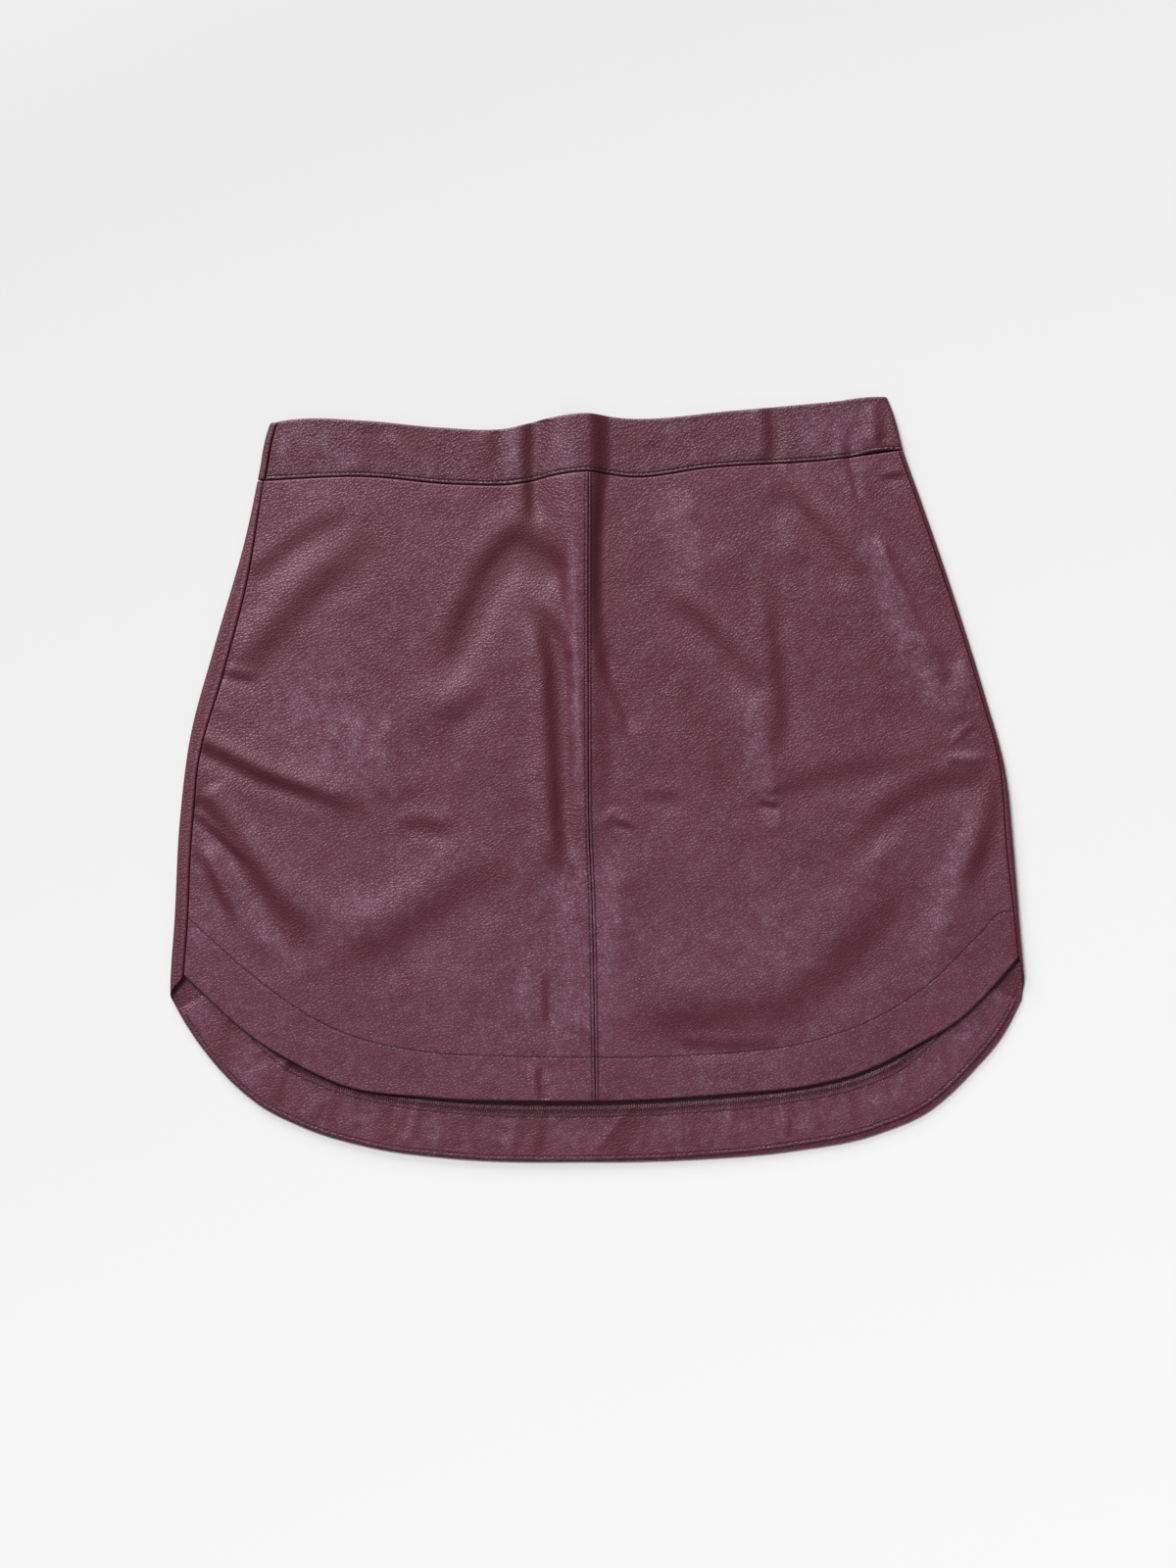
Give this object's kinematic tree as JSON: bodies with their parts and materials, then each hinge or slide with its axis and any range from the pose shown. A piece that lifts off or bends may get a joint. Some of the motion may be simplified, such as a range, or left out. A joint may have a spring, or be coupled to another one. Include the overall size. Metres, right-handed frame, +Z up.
{
  "type": "leather skirt",
  "caption": "Short leather skirt laid flat, front up: panels seamed at centre and sides, a waistband, a faced shirttail hem that dips behind, and a concealed back zip with a pull tab.",
  "frame": {"origin": "centre of the footprint, on the surface that the skirt lies on", "axes": "+X to the right as the skirt is seen from above, +Y towards the waist, +Z up out of the front"},
  "size_m": [0.5224, 0.4677, 0.0116],
  "materials": {
    "leather": "oxblood pebble-grain faux leather with a soft satin sheen",
    "leather_band": "the same leather, smoother where it is stretched over the stiffened waistband",
    "leather_facing": "the same leather on the turned-in facing of the back hem",
    "zip_metal": "zip slider and pull tab, lacquered to match the leather"
  },
  "bodies": {
    "skirt": {"front_panel_left": "leather", "front_panel_right": "leather", "back_panel_left": "leather", "back_panel_right": "leather", "waistband_front": "leather_band", "waistband_back_left": "leather_band", "waistband_back_right": "leather_band", "back_hem_facing": "leather_facing", "zip_slider": "zip_metal"},
    "zip_pull": {"zip_pull": "zip_metal"}
  },
  "joints": [
    {"name": "pull_swing", "type": "hinge", "parent": "skirt", "child": "zip_pull", "pos_m": [-0.009, 0.206, 0.0033], "axis": [1, 0, 0], "range_deg": [-9, 170]}
  ]
}
